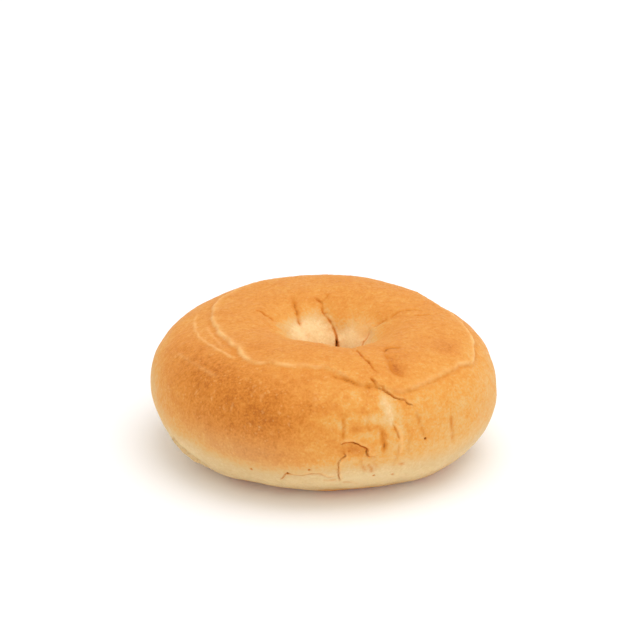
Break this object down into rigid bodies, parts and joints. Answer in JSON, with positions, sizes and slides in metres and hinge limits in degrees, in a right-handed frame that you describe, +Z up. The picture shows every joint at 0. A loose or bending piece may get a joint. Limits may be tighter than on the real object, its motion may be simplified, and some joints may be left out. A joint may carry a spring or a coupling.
{
  "type": "bagel",
  "caption": "Plain baked bagel: a plump golden bread ring with a nearly closed hole, creased lobes and a flat pale base.",
  "frame": {"origin": "centre of the outline's box in plan, on the surface that the bagel rests on", "axes": "+Z up, -Y towards the side with the folded seam, +X to the right seen from that side"},
  "size_m": [0.1102, 0.111, 0.0438],
  "materials": {
    "crust": "baked bread crust: golden on top, browner round the front and left shoulder, pale at the base and in the hole, satin matt with fine speckle and dry creases"
  },
  "bodies": {
    "root": {"bagel": "crust"}
  },
  "joints": []
}
